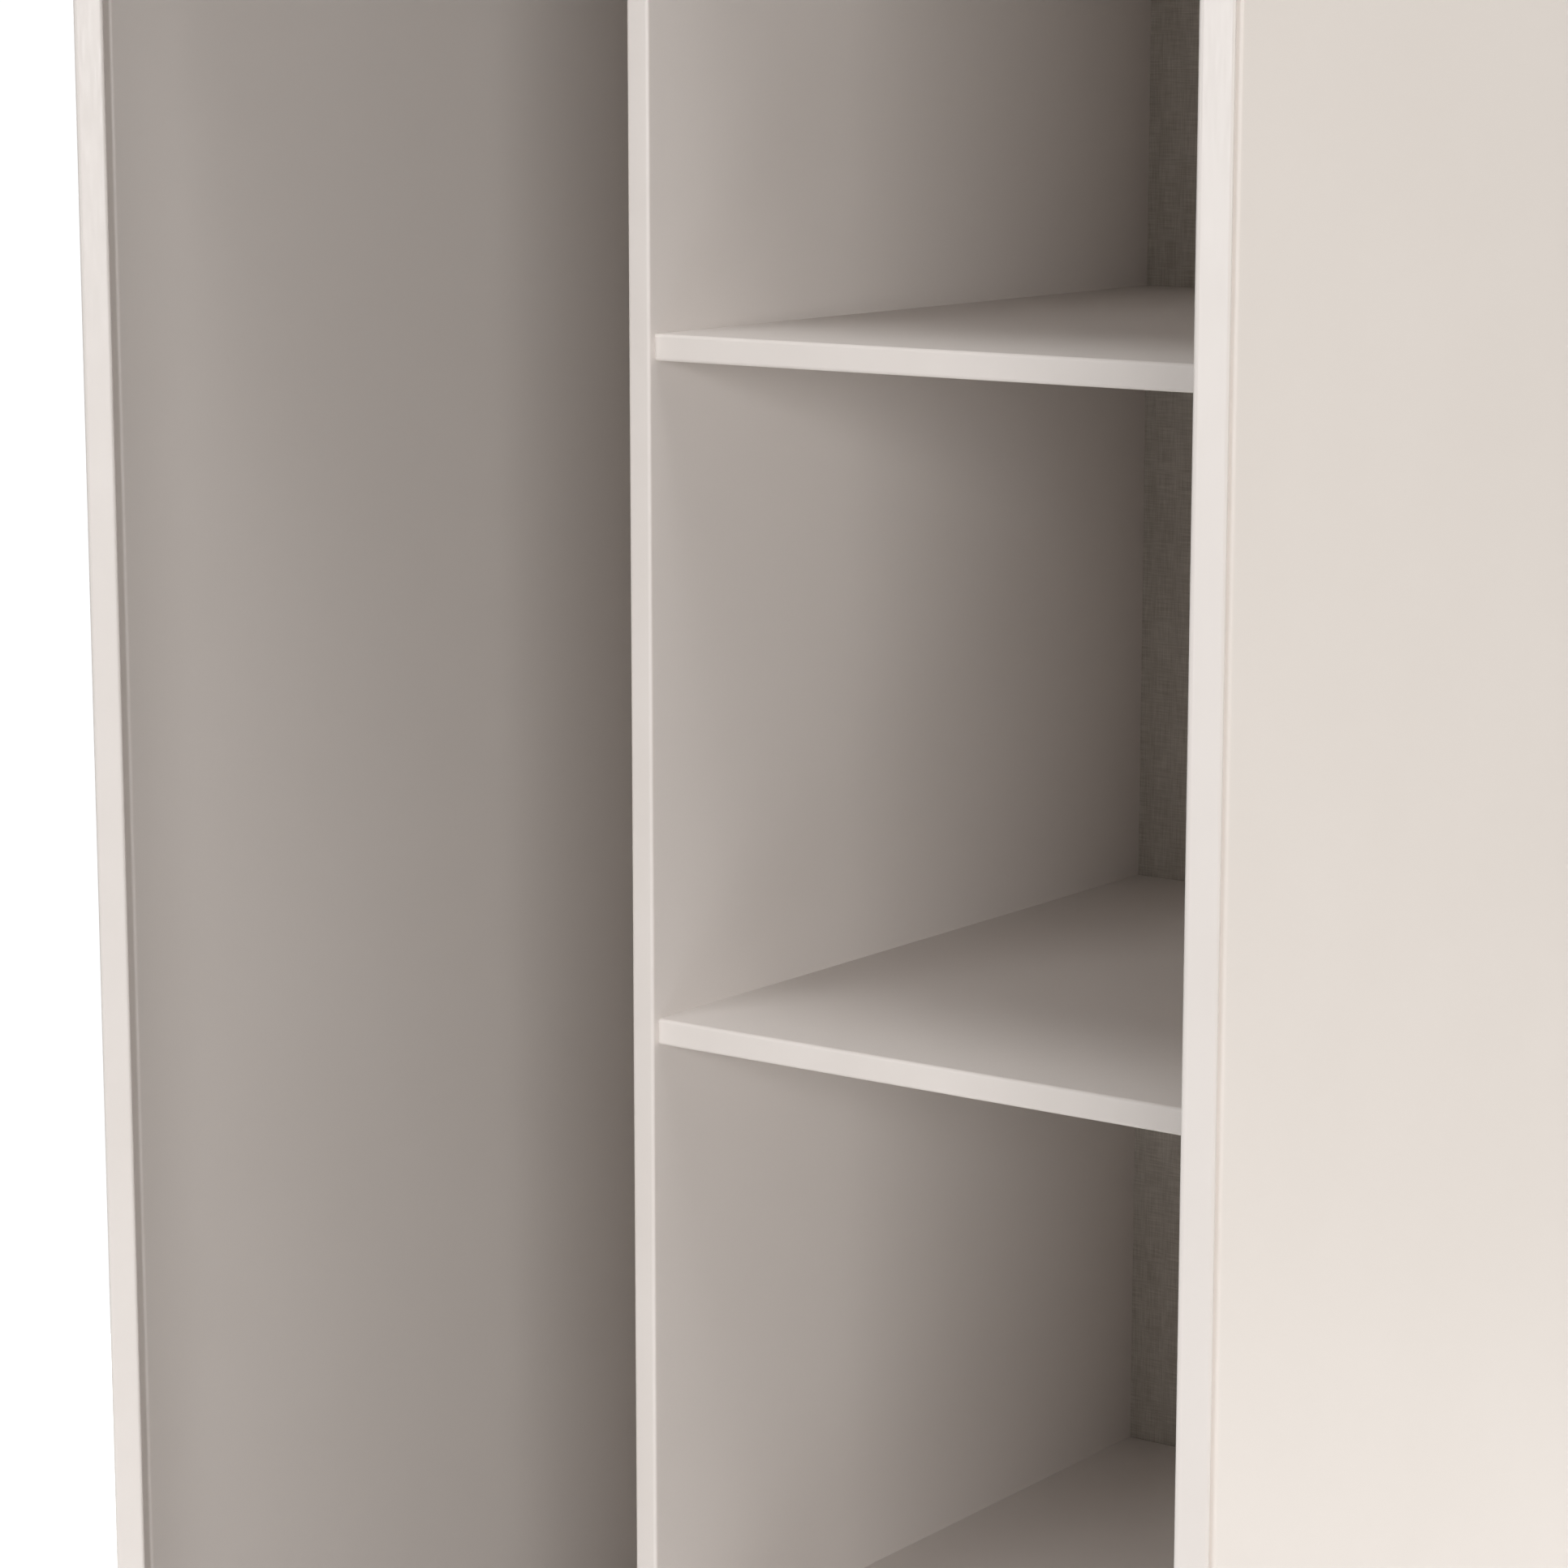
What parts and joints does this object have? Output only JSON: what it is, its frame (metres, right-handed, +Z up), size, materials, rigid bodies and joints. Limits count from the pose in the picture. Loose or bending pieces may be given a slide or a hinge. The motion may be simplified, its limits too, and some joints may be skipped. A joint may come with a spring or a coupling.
{
  "type": "wardrobe",
  "caption": "Tall wardrobe of faced board: a hanging bay beside a shelved bay, behind pivoting handle-less doors held by push latches.",
  "frame": {"origin": "floor level, at the middle of the carcass's footprint", "axes": "+Z up, +X to the right of someone facing the doors, +Y from the doors to the back"},
  "size_m": [1, 0.8784, 2],
  "materials": {
    "melamine_board": "matt warm off-white melamine on particleboard, fine pearl grain",
    "edge_band": "satin ABS edge band, rounded corners",
    "linen_hardboard": "thin hardboard with a printed and embossed linen weave",
    "chrome_tube": "bright",
    "nickel_cast": "satin nickel on die-cast zinc",
    "zinc_steel": "bright zinc plate",
    "plated_steel": "satin zinc plate",
    "die_cast": "raw die-cast",
    "beech": "fluted beech",
    "glide_plastic": "satin",
    "bush_nylon": "natural nylon",
    "latch_plastic": "satin acetal",
    "silicone": "clear silicone"
  },
  "bodies": {
    "carcass": {"back_left": "linen_hardboard", "back_nails": "zinc_steel", "back_right": "linen_hardboard", "bottom_panel": "melamine_board", "bottom_panel_edging": "edge_band", "cam_bolts": "zinc_steel", "cam_locks": "die_cast", "centre_foot": "glide_plastic", "centre_foot_screws": "zinc_steel", "divider": "melamine_board", "divider_edging": "edge_band", "divider_screws": "zinc_steel", "dowels": "beech", "floor_glides": "glide_plastic", "hanging_rail": "chrome_tube", "hat_shelf": "melamine_board", "latch_screws": "zinc_steel", "latch_springs": "zinc_steel", "left_latch_body": "latch_plastic", "left_side": "melamine_board", "left_side_edging": "edge_band", "lower_pivot_left": "plated_steel", "lower_pivot_right": "plated_steel", "pivot_pins": "zinc_steel", "pivot_screws": "zinc_steel", "plinth_front": "melamine_board", "plinth_rear": "melamine_board", "rail_socket_left": "nickel_cast", "rail_socket_right": "nickel_cast", "rail_socket_screws": "zinc_steel", "right_latch_body": "latch_plastic", "right_side": "melamine_board", "right_side_edging": "edge_band", "shelf_1": "melamine_board", "shelf_2": "melamine_board", "shelf_3": "melamine_board", "shelf_4": "melamine_board", "shelf_edging": "edge_band", "thrust_washers": "zinc_steel", "top_panel": "melamine_board", "top_panel_edging": "edge_band", "upper_pivot_left": "plated_steel", "upper_pivot_right": "plated_steel", "wall_bracket_left": "plated_steel", "wall_bracket_right": "plated_steel", "wall_bracket_screws": "zinc_steel"},
    "left_door": {"left_door": "melamine_board", "left_door_edging": "edge_band", "left_door_bushes": "bush_nylon", "left_strike_plate": "plated_steel", "left_door_bumpers": "silicone"},
    "right_door": {"right_door": "melamine_board", "right_door_edging": "edge_band", "right_door_bushes": "bush_nylon", "right_strike_plate": "plated_steel", "right_door_bumpers": "silicone"},
    "left_plunger": {"left_latch_plunger": "latch_plastic"},
    "right_plunger": {"right_latch_plunger": "latch_plastic"}
  },
  "joints": [
    {"name": "left_door_hinge", "type": "hinge", "parent": "carcass", "child": "left_door", "pos_m": [-0.3925, -0.275, 1], "axis": [0, 0, 1], "range_deg": [-125.16, 44.84]},
    {"name": "right_door_hinge", "type": "hinge", "parent": "carcass", "child": "right_door", "pos_m": [0.3925, -0.275, 1], "axis": [0, 0, 1], "range_deg": [-120.67, 49.33]},
    {"name": "left_latch_press", "type": "slide", "parent": "carcass", "child": "left_plunger", "axis": [0, 1, 0], "range_m": [0, 0.004], "stiffness_N_per_m": 300, "springref_m": -0.002},
    {"name": "right_latch_press", "type": "slide", "parent": "carcass", "child": "right_plunger", "axis": [0, 1, 0], "range_m": [0, 0.004], "stiffness_N_per_m": 300, "springref_m": -0.002}
  ]
}
